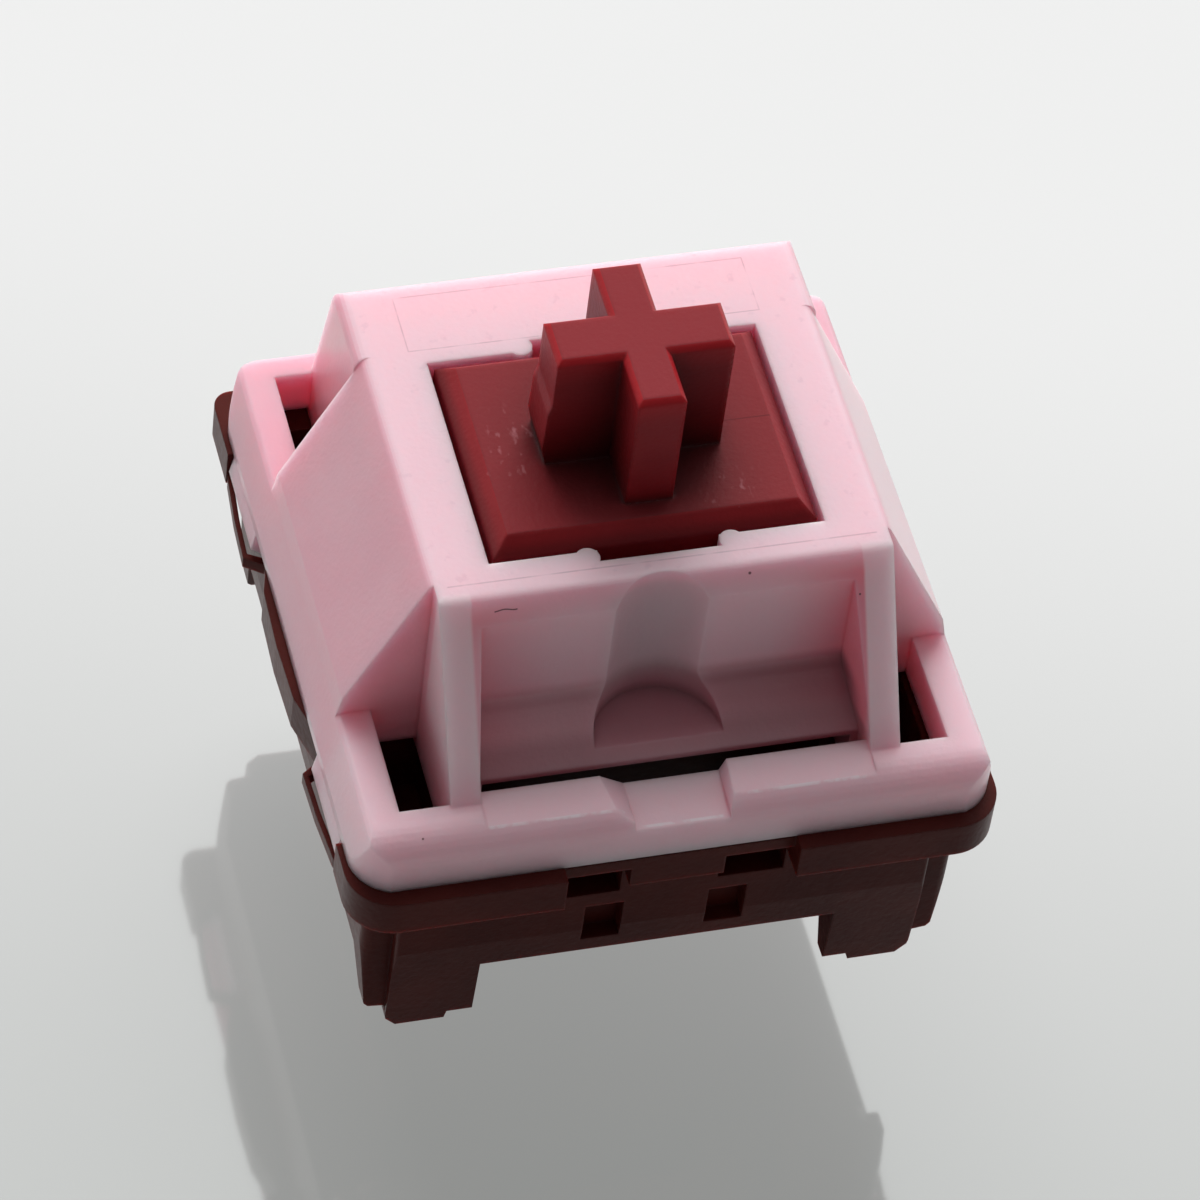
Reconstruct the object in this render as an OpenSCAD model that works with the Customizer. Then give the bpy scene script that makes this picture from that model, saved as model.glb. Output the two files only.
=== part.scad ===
// Push-button keyboard switch with a cross-shaped stem, for a 14 mm plate cut-out.
// Millimetres. The origin is on the centre post's axis in the plane of the circuit board,
// +Z runs up the stem and the side with the light slot faces -Y.

/* [Bottom housing] */
// How far the flange stands out over the body on the front and back
flange_out = 0.825; // [0.6:0.025:1]
// Thickness of the flange
flange_t = 1.0; // [0.8:0.05:1.2]
// Corner radius of the flange
flange_r = 1.1; // [0.8:0.1:1.4]
// Corner radius of the flange at the back
flange_back_r = 0.45; // [0.3:0.05:1]
// How far the flange's corners are set back on the left and right
flange_setback = 0.22; // [0.1:0.02:0.25]
// How far the flange's sides swell between the clip loops
flange_swell = 0.1; // [0:0.02:0.15]
// Thickness of the bar of a clip loop
loop_bar = 0.12; // [0.1:0.01:0.14]
// Height of the bar of a clip loop
loop_h = 0.32; // [0.25:0.01:0.36]
// How far the bar of a clip loop bows out
loop_bow = 0.15; // [0.12:0.01:0.17]
// Distance from the middle to the near end of a clip loop
loop_y0 = 3.0; // [2.8:0.1:3.2]
// Distance from the far end of a clip loop to the front or back of the flange
loop_end = 1.95; // [1.8:0.05:2.2]
// Width of the body just below the plate
body_w = 13.95; // [13.7:0.05:14]
// Width of the body at its feet
feet_w = 13.4; // [13.1:0.05:13.7]
// How far from the side the flat front of a corner steps back
corner_in = 0.705; // [0.6:0.005:0.9]
// How far a corner steps back from the front
corner_step = 0.35; // [0.2:0.05:0.5]
// Height of the plate seat above the board
seat_z = 5.0; // [4.8:0.1:5.4]
// Height of the lower edge of the walls between the feet
skirt_z = 2.13; // [1.9:0.01:2.3]
// Thickness of the floor
floor_t = 1.0; // [0.8:0.05:1.1]
// Distance from the middle to the inner side of a foot
foot_x = 4.2; // [3.8:0.1:4.6]
// Depth of a foot at its root
foot_depth = 1.35; // [1:0.05:1.6]
// Radius of the centre post that goes through the board
post_r = 1.95; // [1.8:0.05:2]
// Length of the centre post below the board
post_len = 3.3; // [3:0.1:3.6]
// Outer radius of the tube that guides the stem's pole
tube_r = 1.5; // [1.4:0.05:1.6]
// Radius of the bore for the stem's pole
bore_r = 1.0; // [0.85:0.05:1.1]
// Height of the guide tube above the floor
tube_h = 3.0; // [2.6:0.1:3.4]
// Half the width of the plate clip with its two slots
clip_x = 2.7; // [2.4:0.1:3]
// Half the width of the tongue between the slots
tongue_x = 1.1; // [0.8:0.1:1.3]
// Thickness of the front wall beside the light's pocket
front_wall = 0.9; // [0.8:0.05:1]
// Half the width of the light's pocket
light_x = 4.2; // [3.8:0.1:4.3]
// Half the width of the slot for the light's leads
lead_x = 2.6; // [2:0.1:2.8]

/* [Top housing] */
// How far the ring is set in from the edge of the flange
ring_in = 0.35; // [0.25:0.05:0.5]
// Height of the ring
ring_h = 1.5; // [1.3:0.05:1.7]
// Radius of the rounded front edge of the ring
ring_round = 0.75; // [0.5:0.05:0.8]
// Height of the top face above the plate seat
top_h = 6.6; // [6.4:0.1:7]
// Half the width of the tower
tower_x = 5.45; // [5.35:0.05:5.6]
// Half the distance between the outer sides of the fins
fin_x = 5.2; // [5.1:0.02:5.3]
// Distance from the stem's axis to the front edge of the top face
top_front = 3.95; // [3.85:0.05:4.05]
// Distance from the stem's axis to the back edge of the top face
top_back = 5.63; // [5.5:0.01:5.7]
// Rounding of the top face's back and side edges
top_round = 0.36; // [0.2:0.02:0.45]
// Thickness of the top face
roof_t = 0.9; // [0.8:0.05:1]
// Thickness of the tower's walls
tower_wall = 0.8; // [0.7:0.05:0.85]
// Half the width of the sloping side panels
panel_y = 3.4; // [3.2:0.1:3.6]
// Distance from the middle to the top of a side panel
panel_top = 5.35; // [5.2:0.05:5.4]
// Width of the ring's side bars beside the corner openings
bar_w = 1.1; // [1:0.05:1.2]
// Width of the ring's front bar beside the corner openings
front_bar = 1.05; // [0.95:0.05:1.15]
// Width of the ring's back bar beside the corner openings
back_bar = 0.7; // [0.6:0.05:0.8]
// Thickness of the two fins at their front edge
fin_t = 0.7; // [0.6:0.02:0.8]
// How much thicker the fins are at their root
fin_draft = 0.22; // [0.1:0.02:0.3]
// Width of the light slot behind the ring's front bar
slot_w = 0.45; // [0.3:0.05:0.5]
// Radius of the round hollow for a light in the front wall
light_r = 1.5; // [1.4:0.02:1.6]

/* [Stem] */
// Travel of the stem
travel = 4.0; // [3.5:0.1:4]
// Size of the platform across the switch
platform_w = 7.44; // [7.3:0.02:7.5]
// Size of the platform from front to back
platform_d = 5.76; // [5.6:0.02:5.8]
// Height of the platform above the top face
platform_h = 0.3; // [0.2:0.05:0.4]
// Bevel round the platform
bevel = 0.38; // [0.3:0.02:0.45]
// Gap between the stem and the opening in the top face
stem_gap = 0.14; // [0.1:0.02:0.2]
// Height of the cross above the top face
cross_h = 3.6; // [3.4:0.1:3.8]
// Length of the cross from left to right
cross_x = 4.05; // [4:0.02:4.2]
// Length of the cross from front to back
cross_y = 4.2; // [4:0.02:4.3]
// Thickness of the arm that runs from left to right
arm_x_t = 1.33; // [1.2:0.01:1.4]
// Thickness of the arm that runs from front to back
arm_y_t = 1.1; // [1:0.05:1.2]
// Running clearance of the pole in its bore
pole_gap = 0.05; // [0.03:0.01:0.08]

/* [Spring] */
// Diameter of the spring wire
wire_d = 0.3; // [0.24:0.02:0.34]
// Mean diameter of the coil
coil_d = 3.9; // [3.7:0.1:4]
// Number of turns
turns = 10; // [8:1:11]

/* [Contacts] */
// Thickness of the contact sheet
sheet_t = 0.25; // [0.2:0.01:0.28]
// Width of the terminal pins
pin_w = 1.0; // [0.8:0.05:1.2]
// Length of the terminal pins below the board
pin_len = 3.3; // [3:0.1:3.6]
// Half the width of the contact leaf
leaf_x = 2.3; // [2.25:0.05:2.5]
// Height of the leaf's root
leaf_root = 1.2; // [1:0.1:1.3]
// How far the contact leaf's tip moves over the whole travel
leaf_swing = 0.3; // [0.24:0.02:0.34]

/* [Hidden] */
$fn = 48;
eps = 0.01;
pink = [0.94, 0.74, 0.79];
maroon = [0.52, 0.12, 0.16];
brown = [0.30, 0.11, 0.11];
bronze = [0.72, 0.48, 0.28];
gold = [0.86, 0.70, 0.30];
steel = [0.72, 0.73, 0.75];

// heights
flange_z = seat_z + flange_t;
ring_z = flange_z + ring_h;
top_z = seat_z + top_h;
roof_z = top_z - roof_t;
platform_z = top_z + platform_h;
cross_z = top_z + cross_h;
floor_z = floor_t;
raised_z = skirt_z + floor_t;

// half sizes of the housings
body_x = body_w / 2;
corner_x = body_x - corner_in;
flange_x = body_x + flange_out;
flange_side = flange_x - flange_setback;
ring_x = flange_x - ring_in;
ring_w = 2 * ring_x;
ring_front = ring_x - 0.05;
band_x = flange_side + flange_swell;
band_end = ring_x - 0.2;
band_y = 1.6;
loop_y1 = flange_x - loop_end;
opening_x = ring_x - bar_w;
opening_front = ring_front - front_bar;
opening_back = ring_x - back_bar;

// stem opening in the top face, and the stem's shoulders below it
stem_x = platform_w / 2;
stem_y = platform_d / 2;
hole_x = stem_x + stem_gap;
hole_y = stem_y + stem_gap;
shoulder = 0.4;
skirt_x = hole_x + shoulder;
skirt_y = hole_y + shoulder;
well_gap = 0.12;
well_x = skirt_x + well_gap;
well_y = skirt_y + well_gap;
rail_z = floor_z + travel + 0.05;
skirt_low = rail_z + 1.9;
lift_gap = 0.03;
pocket_r = coil_d / 2 + wire_d / 2 + 0.25;
pocket_top = roof_z - 0.35;
pole_r = bore_r - pole_gap;
pole_z = floor_z + tube_h - 1.0;
bore_z = pole_z - travel - 1.2;

// contact bay behind the stem
stem_back = skirt_y;
leg_x = 1.9;
leg_w = 0.7;
leg_low = rail_z + 1.4;
leg_high = roof_z - 0.1;
leg_out = 0.62;
fixed_y = stem_back + 0.2;
fixed_x = 1.2;
tip_z = leg_low + 0.45;
tip_gap = 0.03;
point_t = 0.12;
leaf_y = fixed_y + sheet_t + 2 * point_t + leaf_swing + tip_gap;
root_z = floor_z + 1.0;
pin_fixed = [-3.81, 2.54];
pin_leaf = [2.54, 5.08];
bay_y = max(leaf_y + 2 * sheet_t + 0.2, pin_leaf[1] + sheet_t / 2 + 0.1);
bay_z = tip_z + 1.0;
well_back = stem_back + leg_out + well_gap;

// catches of the top housing in the clip loops
catch_gap = 0.1;
catch_y0 = loop_y0 + 0.3;
catch_y1 = loop_y1 - catch_gap;
catch_x = ring_x + 0.1;
catch_in = body_x - 0.1;
catch_low = seat_z + 0.1;
undercut = 0.25;

// room beside the stem well, and the light's pocket in front of it
side_wall = 1.35;
side_x = body_x - side_wall;
side_y = panel_y - 1.05;
well_wall = 0.7;
pocket_front = body_x - front_wall;
pocket_back = well_y + well_wall;

// rounding between the side panels and the top face
crease_r = 0.3;

// front recess of the top housing: its wall, and the light slot behind the front bar
fin_in = fin_x - fin_t;
wall_y = top_front + 0.35;
light_depth = 0.45;
light_shift = -0.15;
slot_front = opening_front - 0.22;
slot_back = slot_front - slot_w;

// points on an arc round c from angle a0 to a1
function arc(c, r, a0, a1, n) =
  [for (i = [0:n]) let (a = a0 + (a1 - a0) * i / n) c + r * [cos(a), sin(a)]];

// a profile drawn in X and Z, extruded from y0 to y1
module slab_y(y0, y1) {
  translate([0, y1, 0]) rotate([90, 0, 0]) linear_extrude(height = y1 - y0) children();
}

// a profile drawn in Y and Z, extruded from x0 to x1
module slab_x(x0, x1) {
  translate([x0, 0, 0]) rotate([90, 0, 90]) linear_extrude(height = x1 - x0) children();
}

module block(x, y, z) {
  translate([x[0], y[0], z[0]]) cube([x[1] - x[0], y[1] - y[0], z[1] - z[0]]);
}

module rounded_square(w, d, r) {
  square([w - 2 * r, d], center = true);
  square([w, d - 2 * r], center = true);
  for (x = [-1, 1], y = [-1, 1]) translate([x * (w / 2 - r), y * (d / 2 - r)]) circle(r);
}

module left_right() {
  children();
  mirror([1, 0, 0]) children();
}

module front_back() {
  children();
  mirror([0, 1, 0]) children();
}

// BOTTOM HOUSING

// outline of the body seen from any side, a little narrower at the feet
module body_outline() {
  polygon([[-feet_w / 2, 0], [feet_w / 2, 0], [body_x, seat_z - 2], [body_x, flange_z - 0.2],
           [-body_x, flange_z - 0.2], [-body_x, seat_z - 2]]);
}

module body_form() {
  intersection() {
    slab_y(-flange_x, flange_x) body_outline();
    slab_x(-flange_x, flange_x) body_outline();
    linear_extrude(height = flange_z) {
      rounded_square(2 * corner_x, body_w, 0.1);
      rounded_square(body_w, body_w - 2 * corner_step, 0.25);
    }
  }
}

// stepped lower end of one foot, seen from the front
module foot_front() {
  polygon([[foot_x, skirt_z + 0.3], [foot_x, 0.25], [foot_x + 0.6, 0.25], [foot_x + 0.65, 0],
           [foot_x + 1.8, 0], [foot_x + 2.05, 0.3], [foot_x + 2.1, 0.7], [body_x - 0.3, 0.75],
           [body_x, 1.1], [body_x, skirt_z + 0.3]]);
}

// a foot seen from the side, a wedge that thins towards the board
module foot_side() {
  polygon([[body_x - foot_depth, skirt_z + 0.3], [feet_w / 2 - 0.3, 0], [body_x, 0],
           [body_x, skirt_z + 0.3]]);
}

module feet() {
  intersection() {
    body_form();
    left_right() slab_y(-body_x, body_x) foot_front();
    front_back() slab_x(-body_x, body_x) foot_side();
  }
}

// outline of the flange: rounded corners, and between the clip loops a band that swells
module flange_outline() {
  difference() {
    union() {
      rounded_square(2 * flange_side, 2 * flange_x, flange_r);
      intersection() {
        rounded_square(2 * flange_side, 2 * flange_x, flange_back_r);
        translate([-flange_x, 0]) square([2 * flange_x, flange_x]);
      }
    }
    square([3 * flange_x, 2 * loop_y0], center = true);
  }
  polygon([[band_end, -loop_y0 - eps], [band_x - 0.05, -band_y], [band_x, 0], [band_x - 0.05, band_y],
           [band_end, loop_y0 + eps], [-band_end, loop_y0 + eps], [-band_x + 0.05, band_y], [-band_x, 0],
           [-band_x + 0.05, -band_y], [-band_end, -loop_y0 - eps]]);
}

// opening of a clip loop in the flange
module loop_cut() {
  block([catch_in - catch_gap, flange_x], [loop_y0, loop_y1], [seat_z - eps, flange_z + eps]);
}

// low bar of a clip loop, bowed outwards
module loop_form() {
  middle = (loop_y0 + loop_y1) / 2;
  bow = flange_side + loop_bow;
  translate([0, 0, seat_z]) linear_extrude(height = loop_h)
    polygon([[band_end - 0.1, loop_y0 - 0.15], [bow, loop_y0 + 0.25], [bow - 0.04, middle],
             [flange_side, loop_y1 - 0.15], [flange_side - 0.05, loop_y1 + 0.05],
             [flange_side - 0.05 - 2 * loop_bar, loop_y1 + 0.05], [flange_side - loop_bar, loop_y1 - 0.2],
             [bow - 0.04 - loop_bar, middle], [bow - loop_bar, loop_y0 + 0.35],
             [band_end - 0.1, loop_y0 + 0.1]]);
}

module flange() {
  difference() {
    translate([0, 0, seat_z]) linear_extrude(height = flange_t) flange_outline();
    left_right() front_back() loop_cut();
    front_back() block([-clip_x, clip_x], [-flange_x - 1, -body_x - eps], [seat_z - eps, flange_z + eps]);
  }
}

// tongue and thin shelf of the plate clip, on the front and on the back
module plate_clip() {
  block([-tongue_x, tongue_x], [-ring_front, -body_x + 0.3], [seat_z, flange_z - 0.05]);
  block([-clip_x, clip_x], [-ring_front, -body_x + 0.3], [flange_z - 0.4, flange_z - 0.05]);
}

// recesses of the plate clip in the wall under the flange
module clip_cuts() {
  left_right() {
    block([tongue_x + 0.05, clip_x], [-body_x - 1, -body_x + 0.6], [seat_z - 0.7, flange_z - 0.4]);
    block([1.0, 1.9], [-body_x - 1, -body_x + 0.45], [seat_z - 2.4, seat_z - 1.15]);
  }
}

module post() {
  translate([0, 0, -post_len]) cylinder(r1 = post_r - 0.35, r2 = post_r, h = 0.4);
  translate([0, 0, -post_len + 0.4]) cylinder(r = post_r, h = post_len - 0.4 + floor_z);
  cylinder(r = tube_r, h = floor_z + tube_h);
}

module pin_hole(at, w, d) {
  block([at[0] - w / 2, at[0] + w / 2], [at[1] - d / 2, at[1] + d / 2], [-1, floor_z + 1]);
}

module bottom_housing() {
  color(brown) difference() {
    union() {
      difference() {
        union() {
          intersection() {
            body_form();
            block([-body_x, body_x], [-body_x, body_x], [skirt_z, flange_z]);
          }
          block([-well_x - 0.8, well_x + 0.8], [-pocket_back, bay_y + 0.7], [0, skirt_z + 0.1]);
          feet();
          flange();
          front_back() plate_clip();
        }
        // stem well, contact bay and the space above the raised floor
        block([-well_x, well_x], [-well_y, bay_y], [floor_z, flange_z + 1]);
        block([-side_x, side_x], [-side_y, side_y], [raised_z, flange_z + 1]);
        front_back() clip_cuts();
        left_right() front_back() block([catch_in - catch_gap, body_x + eps], [loop_y0, loop_y1],
                                        [seat_z, flange_z + 1]);
        // pockets under the corner openings of the top housing
        left_right() front_back() block([fin_x - 0.2, opening_x - 0.05], [panel_y - 0.3, opening_front],
                                        [seat_z - 0.8, flange_z + 1]);
        // pocket for a light and the slot for its leads
        block([-light_x, light_x], [-pocket_front, -pocket_back], [raised_z, flange_z + 1]);
        block([-lead_x, lead_x], [-pocket_front, -pocket_back], [-1, flange_z + 1]);
      }
      left_right() front_back() loop_form();
      post();
    }
    translate([0, 0, bore_z]) cylinder(r = bore_r, h = 20);
    pin_hole(pin_fixed, pin_w + 2 * tip_gap, sheet_t + 2 * tip_gap);
    pin_hole(pin_leaf, pin_w + 2 * tip_gap, sheet_t + 2 * tip_gap);
  }
}

// TOP HOUSING

// ring outline from the front, straight sides that lean in a little
module ring_front_view() {
  polygon([[-ring_x, flange_z], [ring_x, flange_z], [ring_x, flange_z + 0.3], [ring_x - 0.3, ring_z - 0.1],
           [ring_x - 0.4, ring_z], [-ring_x + 0.4, ring_z], [-ring_x + 0.3, ring_z - 0.1],
           [-ring_x, flange_z + 0.3]]);
}

// ring outline from the side, with the large rounding along the front
module ring_side_view() {
  polygon(concat([[-ring_front, flange_z]],
                 arc([-ring_front + ring_round, ring_z - ring_round], ring_round, 180, 90, 8),
                 [[ring_x - 0.2, ring_z], [ring_x - 0.06, ring_z - 0.06], [ring_x, ring_z - 0.2],
                  [ring_x, flange_z]]));
}

module ring() {
  intersection() {
    slab_y(-flange_x, flange_x) ring_front_view();
    slab_x(-flange_x, flange_x) ring_side_view();
    translate([0, 0, flange_z]) linear_extrude(height = ring_h + 1) rounded_square(ring_w, ring_w, flange_r);
  }
}

// tower between the fins, seen from the side
module tower_side_view() {
  r = 0.25;
  q = top_round;
  polygon(concat([[-opening_front - 0.1, flange_z], [-opening_front - 0.1, ring_z]],
                 arc([-top_front + r * 0.6, top_z - r], r, 150, 90, 4),
                 arc([top_back - q, top_z - q], q, 90, 16, 6),
                 [[opening_back + 0.1, ring_z], [opening_back + 0.1, flange_z]]));
}

module tower_front_view() {
  r = top_round;
  polygon(concat([[tower_x, flange_z]], arc([tower_x - r, top_z - r], r, 0, 90, 6),
                 arc([-tower_x + r, top_z - r], r, 90, 180, 6), [[-tower_x, flange_z]]));
}

// outline of one sloping side panel, from its foot on the ring to its crease with the top face
panel_edge = concat([[ring_x - 0.33, ring_z], [ring_x - 0.43, ring_z + 0.5]],
                    arc([panel_top - crease_r, top_z - crease_r], crease_r, 27, 90, 5));

// sloping side panels, one outline across both
module panel_view() {
  half = concat([[ring_x, flange_z], [ring_x, flange_z + 0.3]], panel_edge);
  polygon(concat(half, [for (i = [len(half) - 1:-1:0]) [-half[i][0], half[i][1]]]));
}

// what lies outside the side panels where they meet the top face
module panel_outside() {
  slab_y(-panel_y, panel_y) polygon(concat([[ring_x, top_z + 1], [ring_x, ring_z]], panel_edge,
                                           [[panel_top - crease_r, top_z + 1]]));
}

// hollow under the side panels, a wall's thickness inside them
module panel_hollow() {
  slab_y(-panel_y + tower_wall, panel_y - tower_wall)
    polygon([[-ring_x + 1.2, flange_z - eps], [ring_x - 1.2, flange_z - eps], [ring_x - 1.4, ring_z],
             [tower_x - 0.7, roof_z], [-tower_x + 0.7, roof_z], [-ring_x + 1.4, ring_z]]);
}

// recess in the front between the fins, which thin towards their front edges: wall, concave foot and
// thin ledge down to the light slot
module front_recess() {
  intersection() {
    slab_x(-fin_in, fin_in)
      polygon(concat([[-ring_x - 1, top_z + 1], [-top_front + 0.2, top_z + 1],
                      [-top_front + 0.2, top_z]],
                     arc([-wall_y + 0.45, top_z - 0.45], 0.45, 90, 180, 5),
                     arc([-wall_y - 0.5, ring_z + 1.05], 0.5, 0, -60, 5),
                     [[-slot_back, ring_z - 0.15], [-slot_back, flange_z - 1], [-slot_front, flange_z - 1],
                      [-slot_front, ring_z + 0.02], [-ring_x - 1, ring_z - 0.3]]));
    linear_extrude(height = top_z + 2)
      polygon([[-fin_in, -ring_x - 1], [fin_in, -ring_x - 1], [fin_in, -slot_front],
               [fin_in - fin_draft, -wall_y], [fin_in - fin_draft, 0], [-fin_in + fin_draft, 0],
               [-fin_in + fin_draft, -wall_y], [-fin_in, -slot_front]]);
  }
}

// hollow under the ledge
module ledge_hollow() {
  slab_x(-fin_in + fin_draft, fin_in - fin_draft)
    polygon([[-slot_back - eps, flange_z - 1], [-slot_back - eps, ring_z - 0.3],
             [-slot_back + 0.45, ring_z - 0.55], [-wall_y, ring_z - 0.45], [-wall_y, flange_z - 1]]);
}

// lower part of the bar between its two pads, whose ends slope into it
module bar_notch() {
  intersection() {
    slab_y(-ring_x - 1, -slot_front + eps)
      polygon([[-1.15, ring_z - 1.2], [1.07, ring_z - 1.2], [1.07, ring_z - 0.35], [1.32, ring_z + 0.3],
               [-1.9, ring_z + 0.3], [-1.7, ring_z], [-1.15, ring_z - 0.35]]);
    slab_x(-2.2, 2.2)
      polygon([[-slot_front + eps, ring_z - 0.35], [-slot_front + eps, ring_z + 1], [-ring_x - 1, ring_z + 1],
               [-ring_x - 1, ring_z - 0.72]]);
  }
}

// shallow recess in the back between its fins
module back_recess() {
  slab_x(-fin_in, fin_in)
    polygon([[top_back - 0.02, top_z - 0.7], [top_back, ring_z + 0.9], [top_back + 0.4, ring_z + 0.3],
             [opening_back - 0.35, ring_z], [ring_x + 1, ring_z], [ring_x + 1, top_z - 0.7]]);
}

// outline of the stem opening, with the wider middle and its rounded lips
module stem_opening() {
  difference() {
    union() {
      square([2 * hole_x, 2 * hole_y], center = true);
      square([2.8, 2 * hole_y + 0.64], center = true);
    }
    for (x = [-1.65, 1.65], y = [-1, 1]) translate([x, y * (hole_y + 0.18)]) circle(0.28);
  }
}

// wedge that snaps into a clip loop
module catch_wedge() {
  slab_y(catch_y0, catch_y1)
    polygon([[catch_in, catch_low], [catch_in + 0.15, catch_low], [catch_x, catch_low + 0.42],
             [ring_x, flange_z], [ring_x - 0.1, flange_z + 0.2], [catch_in, flange_z + 0.2]]);
}

// opening through the ring beside the tower, a little wider below
module corner_opening(x, y0, y1) {
  block([x, opening_x], [y0, y1], [flange_z - 1, top_z + 1]);
  block([x, opening_x + undercut], [y0 - undercut, y1 + undercut], [flange_z - 1, flange_z + 0.28]);
}

module top_housing() {
  color(pink) {
    difference() {
      union() {
        ring();
        difference() {
          intersection() {
            slab_x(-tower_x, tower_x) tower_side_view();
            slab_y(-ring_x, ring_x) tower_front_view();
          }
          left_right() panel_outside();
        }
        slab_y(-panel_y, panel_y) panel_view();
        left_right() front_back() catch_wedge();
      }
      left_right() corner_opening(fin_x, -opening_front, -panel_y);
      left_right() block([fin_x, tower_x + eps], [-ring_front, -panel_y], [ring_z, top_z + 1]);
      left_right() corner_opening(tower_x, panel_y, opening_back);
      // room for the stem's skirt and the contacts
      block([-well_x, well_x], [-well_y, well_back], [flange_z - 1, roof_z]);
      block([-well_x, well_x], [0, bay_y], [flange_z - 1, bay_z]);
      panel_hollow();
      translate([0, 0, roof_z - 1]) linear_extrude(height = roof_t + 2) stem_opening();
      front_recess();
      ledge_hollow();
      translate([light_shift, -wall_y - light_r + light_depth, ring_z + 0.05]) cylinder(r = light_r, h = 10);
      bar_notch();
      back_recess();
    }
  }
}

// STEM

module platform_view(half) {
  polygon([[-half, roof_z - lift_gap], [half, roof_z - lift_gap], [half, platform_z - bevel],
           [half - bevel, platform_z], [-half + bevel, platform_z], [-half, platform_z - bevel]]);
}

module arm(length, thick) {
  c = 0.12;
  half = length / 2;
  t = thick / 2;
  intersection() {
    slab_y(-half, half)
      polygon([[-half, platform_z - eps], [half, platform_z - eps], [half, cross_z - c], [half - c, cross_z],
               [-half + c, cross_z], [-half, cross_z - c]]);
    slab_x(-half, half)
      polygon([[-t, platform_z - eps], [t, platform_z - eps], [t, cross_z - c], [t - c, cross_z],
               [-t + c, cross_z], [-t, cross_z - c]]);
  }
}

// leg that holds the contact leaf off while the stem is up: it thins upwards
module contact_leg() {
  slab_x(leg_x - leg_w / 2, leg_x + leg_w / 2)
    polygon([[stem_back - 0.3, leg_low + 0.3], [stem_back + leg_out - 0.25, leg_low],
             [stem_back + leg_out, leg_low + 0.3],
             [stem_back + leg_out - leaf_swing * (leg_high - leg_low - 0.3) / travel, leg_high],
             [stem_back - 0.3, leg_high]]);
}

module stem() {
  color(maroon) {
    difference() {
      union() {
        intersection() {
          slab_y(-stem_y, stem_y) platform_view(stem_x);
          slab_x(-stem_x, stem_x) platform_view(stem_y);
        }
        block([-skirt_x, skirt_x], [-skirt_y, skirt_y], [skirt_low, roof_z - lift_gap]);
        left_right() block([skirt_x - 0.9, skirt_x], [-1, 1], [rail_z, skirt_low + eps]);
        left_right() contact_leg();
        translate([0, 0.04, 0]) {
          arm(cross_x, arm_x_t);
          rotate([0, 0, 90]) arm(cross_y, arm_y_t);
          // swelling on the lower half of the cross's left end
          slab_y(-arm_x_t / 2, arm_x_t / 2)
            polygon([[-cross_x / 2 + 0.3, platform_z - eps], [-cross_x / 2, platform_z - eps],
                     [-cross_x / 2 - 0.11, platform_z + 0.5], [-cross_x / 2 - 0.08, platform_z + 1.6],
                     [-cross_x / 2, platform_z + 1.9], [-cross_x / 2 + 0.3, platform_z + 1.9]]);
        }
      }
      // hollow for the spring, and a lighter skirt
      translate([0, 0, rail_z - 1]) cylinder(r = pocket_r, h = pocket_top - rail_z + 1);
      left_right() block([pocket_r + 0.45, skirt_x - 0.9], [-skirt_y + 0.8, skirt_y - 0.8],
                         [rail_z - 1, roof_z - 0.9]);
    }
    translate([0, 0, pole_z + 0.3]) cylinder(r = pole_r, h = pocket_top - pole_z - 0.2);
    translate([0, 0, pole_z]) cylinder(r1 = pole_r - 0.25, r2 = pole_r, h = 0.3);
  }
}

// SPRING

spring_low = floor_z + 0.02;
spring_high = pocket_top - 0.02;
coil_sides = 8;
coil_steps = 18;

// height of the wire's centre after t turns: closed end turns, open between them
function coil_z(t) =
  let (lo = spring_low + wire_d / 2, hi = spring_high - wire_d / 2, closed = 1)
  t < closed ? lo + wire_d * t :
  t > turns - closed ? hi - wire_d * (turns - t) :
  lo + wire_d + (hi - lo - 2 * wire_d) * (t - closed) / (turns - 2 * closed);

function coil_ring(i) =
  let (t = i / coil_steps, a = 360 * t)
  [for (k = [0:coil_sides - 1]) let (b = 360 * k / coil_sides)
    [(coil_d / 2 + wire_d / 2 * cos(b)) * cos(a), (coil_d / 2 + wire_d / 2 * cos(b)) * sin(a),
     coil_z(t) + wire_d / 2 * sin(b)]];

module coil_spring() {
  n = turns * coil_steps;
  points = [for (i = [0:n]) each coil_ring(i)];
  sides = [for (i = [0:n - 1], k = [0:coil_sides - 1])
    let (a = i * coil_sides, b = a + coil_sides, m = (k + 1) % coil_sides) [a + k, a + m, b + m, b + k]];
  ends = [[for (k = [coil_sides - 1:-1:0]) k], [for (k = [0:coil_sides - 1]) n * coil_sides + k]];
  color(steel) polyhedron(points = points, faces = concat(sides, ends), convexity = 12);
}

// CONTACTS

// flat pin that thins to its tip
module pin(at, top) {
  slab_y(at[1] - sheet_t / 2, at[1] + sheet_t / 2)
    polygon([[at[0] - pin_w / 2, top], [at[0] - pin_w / 2, -pin_len + 0.8], [at[0] - 0.2, -pin_len],
             [at[0] + 0.2, -pin_len], [at[0] + pin_w / 2, -pin_len + 0.8], [at[0] + pin_w / 2, top]]);
}

module fixed_terminal() {
  z0 = floor_z + eps;
  color(bronze) {
    block([-fixed_x, fixed_x], [fixed_y, fixed_y + sheet_t], [z0, tip_z + 0.5]);
    block([pin_fixed[0] - pin_w / 2, fixed_x], [fixed_y, fixed_y + 0.5], [z0, z0 + sheet_t]);
    block([pin_fixed[0] - pin_w / 2, pin_fixed[0] + pin_w / 2], [pin_fixed[1] - sheet_t / 2, fixed_y + 0.5],
          [z0, z0 + sheet_t]);
    pin(pin_fixed, z0 + sheet_t);
  }
}

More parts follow.
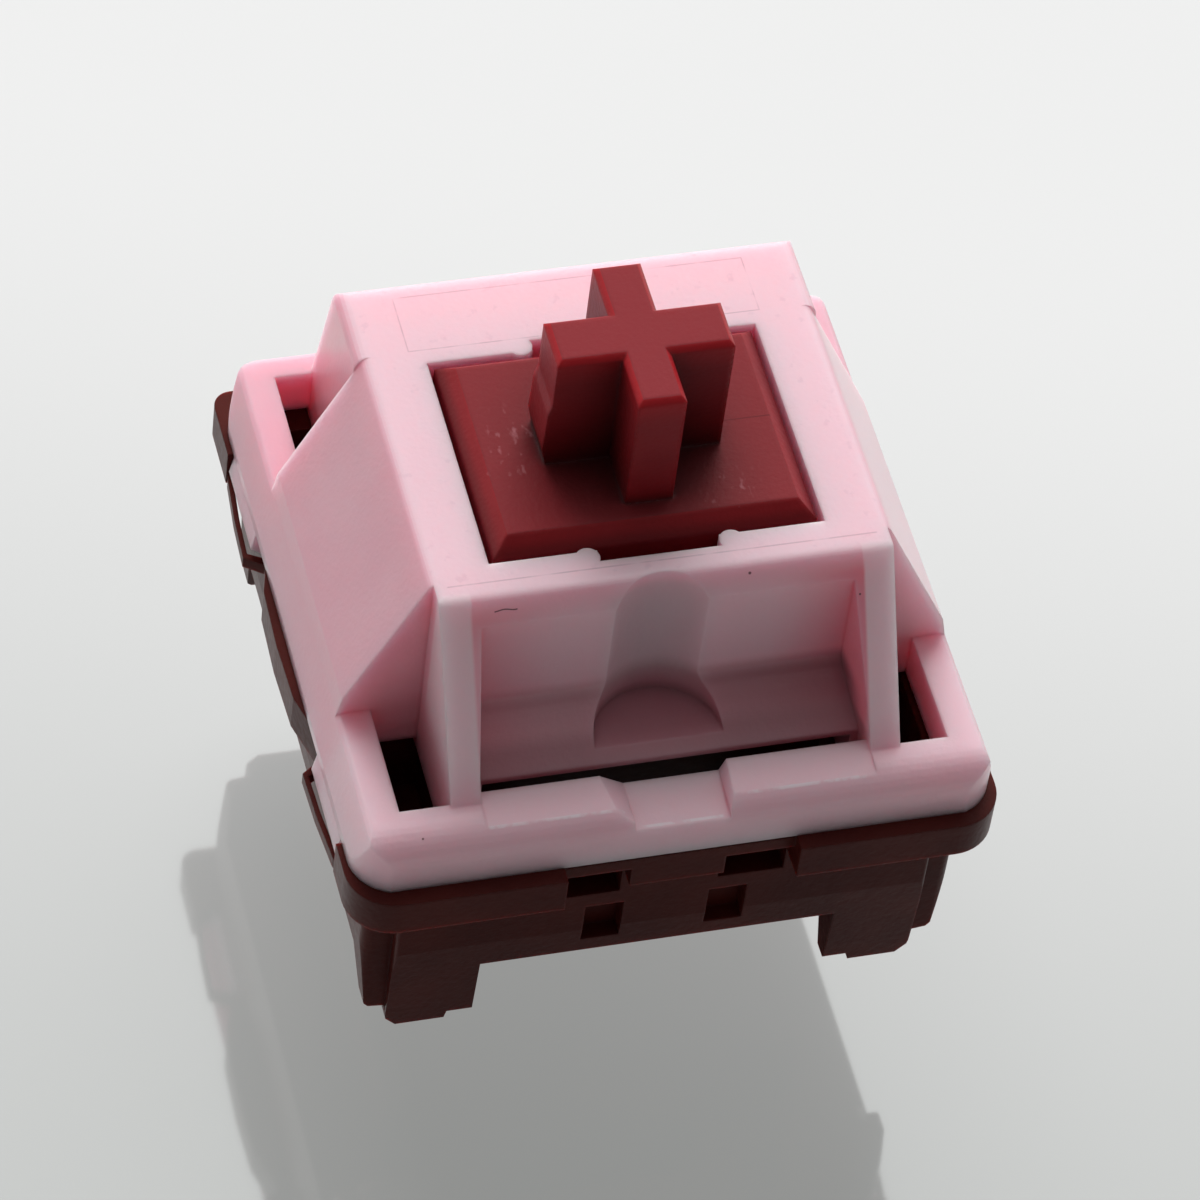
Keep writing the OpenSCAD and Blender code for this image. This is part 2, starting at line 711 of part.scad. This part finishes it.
module fixed_crosspoint() {
  color(gold) slab_x(-0.5, 0.5)
    polygon([[fixed_y + sheet_t, tip_z - 0.2], [fixed_y + sheet_t + point_t, tip_z - 0.06],
             [fixed_y + sheet_t + point_t, tip_z + 0.06], [fixed_y + sheet_t, tip_z + 0.2]]);
}

module leaf_terminal() {
  z0 = floor_z + eps;
  y0 = leaf_y + sheet_t;
  color(bronze) {
    block([-1.5, pin_leaf[0] + pin_w / 2], [y0, y0 + sheet_t], [z0, root_z + 1.0]);
    block([pin_leaf[0] - pin_w / 2, pin_leaf[0] + pin_w / 2], [y0, pin_leaf[1] + sheet_t / 2],
          [z0, z0 + sheet_t]);
    pin(pin_leaf, z0 + sheet_t);
  }
}

// leaf with three arms: the outer two ride on the stem's legs, the middle one carries the contact
module contact_leaf() {
  color(bronze) {
    block([-leaf_x, leaf_x], [leaf_y, leaf_y + sheet_t - eps], [root_z, root_z + leaf_root]);
    left_right() slab_x(leg_x - 0.3, leg_x + 0.3)
      polygon([[leaf_y, root_z + leaf_root - 0.1], [leaf_y, tip_z - 0.45],
               [stem_back + leg_out + tip_gap, tip_z - 0.08], [stem_back + leg_out + tip_gap, tip_z + 0.08],
               [leaf_y, tip_z + 0.45], [leaf_y + sheet_t - eps, tip_z + 0.45],
               [leaf_y + sheet_t - eps, root_z + leaf_root - 0.1]]);
    block([-0.7, 0.7], [leaf_y, leaf_y + sheet_t - eps], [root_z + leaf_root - 0.1, tip_z + 0.5]);
  }
}

module leaf_crosspoint() {
  color(gold) slab_y(leaf_y - point_t, leaf_y)
    polygon([[-0.12, tip_z - 0.4], [0.12, tip_z - 0.4], [0.12, tip_z + 0.4], [-0.12, tip_z + 0.4]]);
}

top_housing();
bottom_housing();
stem();
coil_spring();
fixed_terminal();
fixed_crosspoint();
leaf_terminal();
contact_leaf();
leaf_crosspoint();
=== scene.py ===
"""A plate-mount keyboard switch: two-shell housing, cross-topped stem, return spring and leaf contact.

Lengths are in metres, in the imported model's own frame: +Z up along the stem's travel, -Y to the side
with the hollow for a light, and z 0 where the underside rests on the circuit board.
"""

import bpy
import numpy as np
from mathutils import Matrix, Vector


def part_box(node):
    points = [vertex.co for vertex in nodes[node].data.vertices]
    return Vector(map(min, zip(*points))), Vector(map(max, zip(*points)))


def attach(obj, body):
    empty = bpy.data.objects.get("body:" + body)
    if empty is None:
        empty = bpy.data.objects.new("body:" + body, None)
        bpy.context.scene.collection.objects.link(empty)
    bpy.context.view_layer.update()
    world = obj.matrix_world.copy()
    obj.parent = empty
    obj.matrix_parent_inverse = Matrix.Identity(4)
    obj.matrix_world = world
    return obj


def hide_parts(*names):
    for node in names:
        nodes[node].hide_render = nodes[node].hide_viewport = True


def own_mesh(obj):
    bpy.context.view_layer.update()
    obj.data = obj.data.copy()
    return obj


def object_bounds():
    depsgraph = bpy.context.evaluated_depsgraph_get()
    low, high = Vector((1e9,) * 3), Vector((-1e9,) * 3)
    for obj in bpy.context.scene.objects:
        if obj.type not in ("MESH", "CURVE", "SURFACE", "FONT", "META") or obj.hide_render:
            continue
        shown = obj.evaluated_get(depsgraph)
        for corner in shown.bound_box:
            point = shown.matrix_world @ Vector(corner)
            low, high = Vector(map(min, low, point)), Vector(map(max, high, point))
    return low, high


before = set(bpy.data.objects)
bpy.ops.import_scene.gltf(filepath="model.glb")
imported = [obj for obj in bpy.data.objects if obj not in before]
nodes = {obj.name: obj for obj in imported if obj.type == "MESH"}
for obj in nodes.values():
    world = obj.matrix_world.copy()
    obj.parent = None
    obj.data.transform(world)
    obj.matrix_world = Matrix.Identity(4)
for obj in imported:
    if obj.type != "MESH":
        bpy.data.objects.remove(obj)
cad_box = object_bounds()

# Bottom housing
# The lower shell, moulded in one piece from dark red-brown nylon: flange, clip loops, corner feet and
# centre post. It snaps into a 14 mm plate cut-out, and the sharp mould edges are barely broken.
mm = 0.001


class Value:
    """One output of a material's nodes. Arithmetic on it adds the Math node that works it out."""

    def __init__(self, tree, socket=None):
        self.tree = tree
        self.socket = socket

    def node(self, kind, settings=(), sockets=(), output=0):
        """Any other node: its type, its settings, then the values or links of its sockets."""
        made = self.tree.nodes.new("ShaderNode" + kind)
        for name, setting in dict(settings).items():
            setattr(made, name, setting)
        for name, given in dict(sockets).items():
            socket = made.inputs[name]
            if isinstance(given, Value):
                self.tree.links.new(given.socket, socket)
            else:
                socket.default_value = (*given, 1) if socket.type == "RGBA" else given
        return Value(self.tree, made.outputs[output] if made.outputs else None)

    def math(self, operation, *values):
        return self.node("Math", {"operation": operation}, enumerate(values))

    def __add__(self, other):
        return self.math("ADD", self, other)

    def __sub__(self, other):
        return self.math("SUBTRACT", self, other)

    def __rsub__(self, other):
        return self.math("SUBTRACT", other, self)

    def __mul__(self, other):
        return self.math("MULTIPLY", self, other)

    __radd__ = __add__
    __rmul__ = __mul__

    def fade(self, start, end):
        """0 before start and 1 past end, smooth between them. The end may lie below the start."""
        return self.node(
            "MapRange",
            {"interpolation_type": "SMOOTHSTEP"},
            {"Value": self, "From Min": start, "From Max": end},
        )

    def line(self, centre, half, soft):
        """1 within half of centre, fading to 0 over the width soft."""
        return self.math("ABSOLUTE", self - centre).fade(half + soft, half)

    def larger(self, other):
        return self.math("MAXIMUM", self, other)


def new_material(name):
    """A material with no nodes yet, and the value from which its nodes are grown."""
    made = bpy.data.materials.new(name)
    made.use_nodes = True
    made.node_tree.nodes.clear()
    return made, Value(made.node_tree)


def place_of(start, kind="Object"):
    """The object coordinates, or another kind, as a vector."""
    return start.node("TexCoord", output=kind)


def axes_of(vector):
    """A vector's x, y and z."""
    return [vector.node("SeparateXYZ", (), {0: vector}, axis) for axis in "XYZ"]


def grain(vector, size, detail=2.0, stretch=(1.0, 1.0, 1.0)):
    """Cloudy noise from 0 to 1 with clouds about size across, longer where stretch is under 1."""
    stretched = vector.node("Mapping", (), {"Vector": vector, "Scale": stretch})
    return vector.node("TexNoise", (), {"Vector": stretched, "Scale": 1 / size, "Detail": detail})


def mixed(share, first, second):
    """The colour between first and second, share of the way."""
    return share.node("Mix", {"data_type": "RGBA"}, {0: share, 6: first, 7: second}, 2)


def clouded(noise, first, second):
    """A colour that drifts between two close ones with the noise."""
    return mixed(noise.fade(0.3, 0.7), first, second)


def finished(made, start, colour, roughness, relief, edge=0.07 * mm, depth=0.01 * mm, **constants):
    """Ends a material: its edges are rounded by edge, and relief stands up by depth."""
    rounded = start.node("Bevel", {"samples": 3}, {"Radius": edge})
    bumped = start.node("Bump", (), {"Height": relief, "Distance": depth, "Normal": rounded})
    sockets = {"Base Color": colour, "Roughness": roughness, "Normal": bumped}
    sockets.update({name.replace("_", " "): value for name, value in constants.items()})
    surface = start.node("BsdfPrincipled", (), sockets)
    start.node("OutputMaterial", (), {"Surface": surface})
    return made


def dress(node, material):
    """Puts the material on a carried-over CAD piece."""
    mesh = nodes[node].data
    mesh.materials.clear()
    mesh.materials.append(material)


nylon, start = new_material("red_brown_nylon")
vector = place_of(start)
speckle = grain(vector, 0.16 * mm, 4.0)
cloud = grain(vector, 2.4 * mm)
nylon_colour = mixed(cloud.fade(0.3, 0.75), (0.052, 0.006, 0.0045), (0.074, 0.010, 0.007))
nylon = finished(
    nylon,
    start,
    nylon_colour,
    0.34 + 0.16 * speckle,
    speckle,
    Specular_IOR_Level=0.13,
    Subsurface_Weight=0.18,
    Subsurface_Radius=(1.0, 0.18, 0.14),
    Subsurface_Scale=0.7 * mm,
)
dress("bottom_housing", nylon)

# Fixed terminal and its contact bar
# A pin and post stamped from bronze sheet, pressed into the floor behind the stem. The gold-plated
# bar is welded across its face.
bronze, start = new_material("stamped_bronze")
drawn = grain(place_of(start), 0.03 * mm, stretch=(1.0, 1.0, 0.2))
bronze_colour = clouded(drawn, (0.57, 0.36, 0.19), (0.62, 0.40, 0.22))
bronze = finished(
    bronze, start, bronze_colour, 0.22 + 0.2 * drawn, drawn, 0.03 * mm, 0.002 * mm, Metallic=1.0
)

plating, start = new_material("gold_plating")
pits = grain(place_of(start), 0.05 * mm)
plating_colour = clouded(pits, (0.80, 0.55, 0.20), (0.92, 0.68, 0.30))
plating = finished(
    plating, start, plating_colour, 0.16 + 0.1 * pits, pits, 0.02 * mm, 0.001 * mm, Metallic=1.0
)

dress("fixed_terminal", bronze)
dress("fixed_crosspoint", plating)

# Leaf terminal and contact leaf
# The second pin carries a springy leaf with three arms: the outer two ride on the stem's legs and
# the middle one closes the circuit with its own welded bar.
dress("leaf_terminal", bronze)
dress("contact_leaf", bronze)
dress("leaf_crosspoint", plating)

# Return spring
# Drawn steel wire in ten turns, the end turns closed. It stands on the floor round the guide tube
# and pushes up inside the stem.
coil_low, coil_high = (Vector(corner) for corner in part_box("coil_spring"))
wire_r = 0.15 * mm
coil_r = (coil_high.x - coil_low.x) / 2 - wire_r
turns = 10
rings_a_turn = 48
wire_sides = 14


def wire_coil(around, along):
    """A wire of radius wire_r on a helix: its middle climbs wire by wire in the two end turns and
    evenly between them, and around goes round the wire in the plane through the axis."""
    turn = along * turns
    low, high = coil_low.z + wire_r, coil_high.z - wire_r
    open_pitch = (high - low - 4 * wire_r) / (turns - 2)
    height = np.where(
        turn < 1, low + 2 * wire_r * turn, low + 2 * wire_r + open_pitch * (turn - 1)
    )
    height = np.where(turn > turns - 1, high - 2 * wire_r * (turns - turn), height)
    radius = coil_r + wire_r * np.cos(around)
    angle = 2 * np.pi * turn
    return np.stack(
        [radius * np.cos(angle), radius * np.sin(angle), height + wire_r * np.sin(around)], -1
    )


def tube_mesh(name, surface, rings, sides):
    """A closed tube from a surface of the angle round it and the share along it, with capped ends."""
    along, around = np.meshgrid(
        np.linspace(0, 1, rings), np.arange(sides) * 2 * np.pi / sides, indexing="ij"
    )
    points = surface(around, along).reshape(-1, 3)
    ring, side = np.meshgrid(np.arange(rings - 1), np.arange(sides), indexing="ij")
    here = (ring * sides + side).ravel()
    beside = (ring * sides + (side + 1) % sides).ravel()
    quads = np.stack([here, beside, beside + sides, here + sides], -1)
    caps = [list(range(sides))[::-1], list(range((rings - 1) * sides, rings * sides))]
    mesh = bpy.data.meshes.new(name)
    mesh.from_pydata(points.tolist(), [], quads.tolist() + caps)
    mesh.polygons.foreach_set("use_smooth", np.ones(len(mesh.polygons), bool))
    mesh.update()
    made = bpy.data.objects.new(name, mesh)
    bpy.context.scene.collection.objects.link(made)
    return made


wire, start = new_material("spring_wire")
drawing = grain(place_of(start), 0.08 * mm)
wire_colour = clouded(drawing, (0.42, 0.43, 0.45), (0.58, 0.59, 0.61))
wire = finished(
    wire, start, wire_colour, 0.2 + 0.15 * drawing, drawing, 0.01 * mm, 0.001 * mm, Metallic=1.0
)
spring = tube_mesh("return_spring", wire_coil, turns * rings_a_turn + 1, wire_sides)
spring.data.materials.append(wire)
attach(spring, "housing")
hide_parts("coil_spring")
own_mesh(spring)

# Stem
# One moulding of wine-red acetal: the bevelled platform with the cross for a keycap, and below it
# the skirt, the pole and the two legs that work the leaf.
platform_z = 11.9 * mm
cross_top = 15.2 * mm
left_scuff = (-3.0 * mm, 0.1 * mm, platform_z)
right_scuff = (1.9 * mm, -2.1 * mm, platform_z)


def near(vector, spot, inner, outer):
    """1 within inner of a spot, fading to 0 at outer."""
    away = vector.node("VectorMath", {"operation": "DISTANCE"}, {0: vector, 1: spot}, "Value")
    return away.fade(outer, inner)


def upward_share(start, level, flat):
    """0 where the surface's normal rises less than level, 1 where it rises more than flat."""
    return axes_of(start.node("NewGeometry", output="Normal"))[2].fade(level, flat)


def open_share(start, reach):
    """1 where nothing of the same piece stands within reach, falling towards 0 in its corners."""
    settings = {"samples": 3, "only_local": True}
    return start.node("AmbientOcclusion", settings, {"Distance": reach}, 1)


acetal, start = new_material("wine_red_acetal")
vector = place_of(start)
x, y, z = axes_of(vector)
speckle = grain(vector, 0.12 * mm, 4.0)
upward = upward_share(start, 0.85, 0.98)
stem_colour = clouded(grain(vector, 1.8 * mm), (0.23, 0.007, 0.011), (0.27, 0.010, 0.015))
# Faces that point up are painted paler, a painted sheen.
stem_colour = mixed(upward, stem_colour, (0.240, 0.022, 0.028))

# The slender tops of the arms are painted brighter red, a painted glow of light seeping through them.
painted_glow_on_tops = z.fade(cross_top - 0.9 * mm, cross_top) * (1 - upward)
stem_colour = mixed(0.7 * painted_glow_on_tops, stem_colour, (0.42, 0.009, 0.016))
# Corners are painted dark, a painted shade.
clear_of_painted_shade = open_share(start, 4 * mm).fade(0.3, 0.9)
stem_colour = mixed(clear_of_painted_shade, (0.022, 0.002, 0.0025), stem_colour)
# The slopes below the platform are painted darker, a painted shade.
painted_shade_below_platform = z.fade(platform_z - 0.1 * mm, platform_z - 0.35 * mm)
stem_colour = mixed(painted_shade_below_platform, stem_colour, (0.15, 0.005, 0.008))

# A fine weld line runs from the cross to the platform's right edge, and two spots are scuffed.
on_platform = z.line(platform_z, 0.02 * mm, 0.03 * mm)
weld_line = y.line(0, 0.008 * mm, 0.02 * mm) * x.fade(1.6 * mm, 2.0 * mm) * on_platform
stem_colour = mixed(0.7 * weld_line, stem_colour, (0.09, 0.004, 0.006))
scuffed = near(vector, left_scuff, 0.6 * mm, 1.5 * mm)
scuffed = scuffed.larger(near(vector, right_scuff, 0.3 * mm, 1.1 * mm))
scratches = grain(vector, 0.16 * mm, 4.0, (1.0, 0.5, 1.0)).fade(0.58, 0.75)
stem_colour = mixed(0.3 * scratches * scuffed * on_platform, stem_colour, (0.55, 0.25, 0.28))
acetal = finished(
    acetal,
    start,
    stem_colour,
    0.36 + 0.14 * speckle,
    speckle,
    0.16 * mm,
    Specular_IOR_Level=0.22,
    Subsurface_Weight=0.2,
    Subsurface_Radius=(1.0, 0.12, 0.12),
    Subsurface_Scale=0.8 * mm,
)
dress("stem", acetal)

# Top housing
# The upper shell, moulded in one piece from milky pink polycarbonate: ring, tower, side panels, fins
# and the hollow for a light. Its wedges snap into the bottom housing's loops.
tower_top = 11.6 * mm
tower_front = -3.6 * mm
ring_top = 7.3 * mm
panel_x = 5.2 * mm
fin_inside = 4.45 * mm
bar_back = -5.8 * mm

milky, start = new_material("milky_pink_polycarbonate")
vector = place_of(start)
x, y, z = axes_of(vector)
speckle = grain(vector, 0.14 * mm, 4.0)
streaks = grain(vector, 0.12 * mm, 3.0, (0.12, 1.0, 1.0))
# Faces on top of the tower that point up are painted paler, a painted sheen.
lit_top = upward_share(start, 0.6, 0.98) * z.fade(tower_top - 0.8 * mm, tower_top - 0.2 * mm)
pink_colour = clouded(grain(vector, 2.0 * mm), (0.88, 0.42, 0.505), (0.90, 0.45, 0.53))
pink_colour = mixed(lit_top, pink_colour, (0.93, 0.57, 0.64))
# In front of the tower the pink is painted paler, painted light falling on the front.
painted_light_before_tower = y.fade(tower_front, tower_front - 0.8 * mm)
pink_colour = mixed(painted_light_before_tower, pink_colour, (0.89, 0.54, 0.61))
# Corners are painted a deeper pink, a painted shade.
clear_of_painted_shade = open_share(start, 3 * mm).fade(0.1, 0.6)
pink_colour = mixed(clear_of_painted_shade, (0.90, 0.37, 0.44), pink_colour)

# The fins' fronts and the right side panel are painted paler, a painted glow of light coming through
# them.
fin_fronts = (
    y.fade(tower_front - 0.1 * mm, tower_front - 0.3 * mm)
    * (1 - x.line(0, fin_inside, 0.05 * mm))
    * z.fade(ring_top + 0.2 * mm, ring_top + 1.2 * mm)
)
right_panel = x.fade(panel_x, panel_x + 0.4 * mm) * z.fade(ring_top, ring_top + 0.7 * mm)
pink_colour = mixed(0.85 * fin_fronts.larger(0.7 * right_panel), pink_colour, (0.97, 0.66, 0.71))

# Between the fins the wall is painted: rosy towards both ends, a painted glow of light coming through,
# dark along its foot and low down, a painted shade, and grey in the middle, a painted shade where the
# dark inside shows through. The depth is measured from the fins' leaning fronts.
fin_lean = np.radians(31.5)
fin_reach = 9.38 * mm
depth = fin_reach + np.cos(fin_lean) * y - np.sin(fin_lean) * z
between_fins = (
    x.line(0, fin_inside, 0.1 * mm)
    * z.fade(tower_top - 0.1 * mm, tower_top - 0.5 * mm)
    * y.fade(tower_front + 0.1 * mm, tower_front - 0.1 * mm)
    * y.fade(bar_back - 0.5 * mm, bar_back)
)
recess = between_fins * depth.fade(0.2 * mm, 1.2 * mm)
painted_glow_at_ends = 1 - x.line(0, 2.2 * mm, 2.4 * mm)
more_to_the_right = 0.04 / mm * x
pink_colour = mixed(
    (0.75 + more_to_the_right) * painted_glow_at_ends * between_fins, pink_colour, (0.88, 0.27, 0.35)
)
# Painted shade along the wall's foot.
painted_shade_along_foot = z.line(7.9 * mm, 0.3 * mm, 0.6 * mm) * recess * (0.7 + 1.5 * more_to_the_right)
pink_colour = mixed(painted_shade_along_foot, pink_colour, (0.34, 0.09, 0.12))
pole_shade = between_fins * x.line(-0.2 * mm, 0.7 * mm, 0.9 * mm) * z.fade(7.6 * mm, 8.6 * mm)
pink_colour = mixed(0.5 * pole_shade, pink_colour, (0.56, 0.47, 0.50))
# Painted shade low down between the fins.
painted_shade_low_down = between_fins * z.fade(7.9 * mm, 7.6 * mm)
pink_colour = mixed(0.65 * painted_shade_low_down, pink_colour, (0.36, 0.14, 0.17))

# The mould's inserts left fine lines on the top: one along the front, and an oblong at the back.
insert_left, insert_right = -4.2 * mm, 4.06 * mm
insert_front, insert_back = 3.43 * mm, 5.08 * mm
on_top = z.fade(tower_top - 0.1 * mm, tower_top - 0.02 * mm)


def fine_line(distance, place):
    return distance.line(place, 0.005 * mm, 0.02 * mm)


def stretch_of(distance, low, high):
    """1 between low and high, with ends that are just soft."""
    return distance.line((low + high) / 2, (high - low) / 2, 0.02 * mm)


front_line = y.line(-3.53 * mm, 0.006 * mm, 0.025 * mm) * x.line(0, 4.9 * mm, 0.05 * mm)
side_lines = fine_line(x, insert_right).larger(fine_line(x, insert_left))
side_lines = side_lines * stretch_of(y, insert_front, insert_back)
cross_lines = fine_line(y, insert_front).larger(fine_line(y, insert_back))
cross_lines = cross_lines * stretch_of(x, insert_left, insert_right)
faint = grain(vector, 0.7 * mm).fade(0.3, 0.6)
mould_lines = front_line.larger(side_lines).larger(cross_lines) * on_top * faint
pink_colour = mixed(0.5 * mould_lines, pink_colour, (0.50, 0.24, 0.31))
handled = grain(vector, 0.35 * mm, 3.0).fade(0.62, 0.74) * on_top
pink_colour = mixed(0.22 * handled, pink_colour, (0.62, 0.34, 0.44))

# The front edges of the two pads and of the notch between them are painted with glints, painted
# highlights.
left_pad = x.line(-2.8 * mm, 1.6 * mm, 0.1 * mm)
right_pad = x.line(2.7 * mm, 1.5 * mm, 0.1 * mm)
pad_edge = y.line(-7.04 * mm, 0.02 * mm, 0.03 * mm) * z.fade(ring_top - 0.05 * mm, ring_top)
notch = x.line(-0.1 * mm, 1.0 * mm, 0.1 * mm)
notch_edge = y.line(-7.28 * mm, 0.02 * mm, 0.03 * mm) * z.fade(6.8 * mm, 6.9 * mm)
glints = (pad_edge * left_pad.larger(right_pad)).larger(notch_edge * notch)
glints = glints * grain(vector, 0.3 * mm, 3.0).fade(0.35, 0.55)
pink_colour = mixed(0.6 * glints, pink_colour, (0.96, 0.78, 0.83))

# A short wavy hair and three specks of dust lie on the front.
hair_wave = z - 11.3 * mm - 0.014 * mm * x.math("SINE", 13 / mm * x)
hair = (
    hair_wave.line(0, 0.006 * mm, 0.012 * mm)
    * x.line(-3.71 * mm, 0.25 * mm, 0.02 * mm)
    * y.fade(-3.9 * mm, -4.0 * mm)
)
dirt = hair
for spot, inner, outer in (
    ((1.86 * mm, -4.06 * mm, 11.4 * mm), 0.02 * mm, 0.045 * mm),
    ((4.38 * mm, -4.49 * mm, 10.69 * mm), 0.015 * mm, 0.035 * mm),
    ((-5.97 * mm, -7.08 * mm, 7.37 * mm), 0.015 * mm, 0.035 * mm),
):
    dirt = dirt.larger(near(vector, spot, inner, outer))
pink_colour = mixed(0.85 * dirt, pink_colour, (0.06, 0.012, 0.012))
milky = finished(
    milky,
    start,
    pink_colour,
    0.33 + 0.14 * speckle,
    speckle + 0.6 * streaks * recess,
    0.1 * mm,
    Coat_Weight=0.35,
    Coat_Roughness=0.16,
    Subsurface_Weight=0.8,
    Subsurface_Radius=(1.0, 0.62, 0.67),
    Subsurface_Scale=1.5 * mm,
)
dress("top_housing", milky)

# Table, light and camera
# A pale glossy sheet stands under the switch, which rests on its centre post and pins, with one big
# soft light above and behind it.
table_z = cad_box[0][2]
table_half = 0.6
table = bpy.data.objects.new("table", bpy.data.meshes.new("table"))
table.data.from_pydata(
    [(a * table_half, b * table_half, table_z) for a, b in ((-1, -1), (1, -1), (1, 1), (-1, 1))],
    [],
    [(0, 1, 2, 3)],
)
bpy.context.scene.collection.objects.link(table)


def background_seen(start):
    """1 where the camera, or a ray that passed through something, looks at the background."""
    camera_ray = start.node("LightPath", output="Is Camera Ray")
    return camera_ray.larger(start.node("LightPath", output="Is Transmission Ray"))


sheet, start = new_material("glossy_sheet")
x, y = axes_of(place_of(start))[:2]
# The glow the camera sees is painted darker towards the near side, a painted fall-off of light on the
# sheet.
away = y * 0.94 + x * 0.34
near_grey, far_grey = (0.385, 0.395, 0.385), (0.79, 0.785, 0.785)
glow_colour = mixed(away.fade(-16 * mm, 24 * mm), near_grey, far_grey)
glow = start.node("Emission", (), {"Color": glow_colour, "Strength": 1.0})
gloss = start.node(
    "BsdfPrincipled", (), {"Base Color": (0.80, 0.805, 0.80), "Roughness": 0.06, "Metallic": 0.6}
)
surface = start.node("MixShader", (), {0: 0.62 * background_seen(start), 1: gloss, 2: glow})
start.node("OutputMaterial", (), {"Surface": surface})
table.data.materials.append(sheet)

world = bpy.data.worlds.new("studio")
bpy.context.scene.world = world
world.use_nodes = True
world.node_tree.nodes.clear()
start = Value(world.node_tree)
behind, above = axes_of(place_of(start, "Generated"))[1:]
rear = (behind + 0.3 * above).fade(-0.5, 0.7)
rear_strength = 0.33 + 0.80 * start.node("LightPath", output="Is Glossy Ray")
strength = (0.18 + rear * rear_strength).larger(0.93 * background_seen(start))
backdrop = start.node("Background", (), {"Color": (0.97, 0.985, 0.98), "Strength": strength})
start.node("OutputWorld", (), {"Surface": backdrop})

overhead = bpy.data.lights.new("overhead", "AREA")
overhead.size = 140 * mm
overhead.energy = 0.385
light_place = Vector((20, 130, 138)) * mm
light_aim = Vector((0, 0, 8)) * mm
holder = bpy.data.objects.new("overhead", overhead)
holder.location = light_place
holder.rotation_euler = (light_aim - light_place).to_track_quat("-Z", "Y").to_euler()
holder.visible_camera = False
holder.visible_glossy = False
bpy.context.scene.collection.objects.link(holder)

azimuth, elevation, roll = np.radians((-20.36, 49.33, 8.293))
distance = 143.66 * mm
target = Vector((-0.269, -0.622, 6.869)) * mm
backward = Vector(
    (
        np.sin(azimuth) * np.cos(elevation),
        -np.cos(azimuth) * np.cos(elevation),
        np.sin(elevation),
    )
)
level = Vector((0, 0, 1)).cross(backward).normalized()
steep = backward.cross(level)
right = np.cos(roll) * level + np.sin(roll) * steep
up = np.cos(roll) * steep - np.sin(roll) * level
camera = bpy.data.objects.new("camera", bpy.data.cameras.new("camera"))
camera.data.sensor_width = 36.0
camera.data.lens = 188.04
camera.data.clip_start = 10 * mm
camera.matrix_world = Matrix(
    [(*row, at) for row, at in zip(zip(right, up, backward), target + distance * backward)]
    + [(0, 0, 0, 1)]
)
bpy.context.scene.collection.objects.link(camera)
bpy.context.scene.camera = camera
bpy.context.scene.view_settings.view_transform = "Standard"
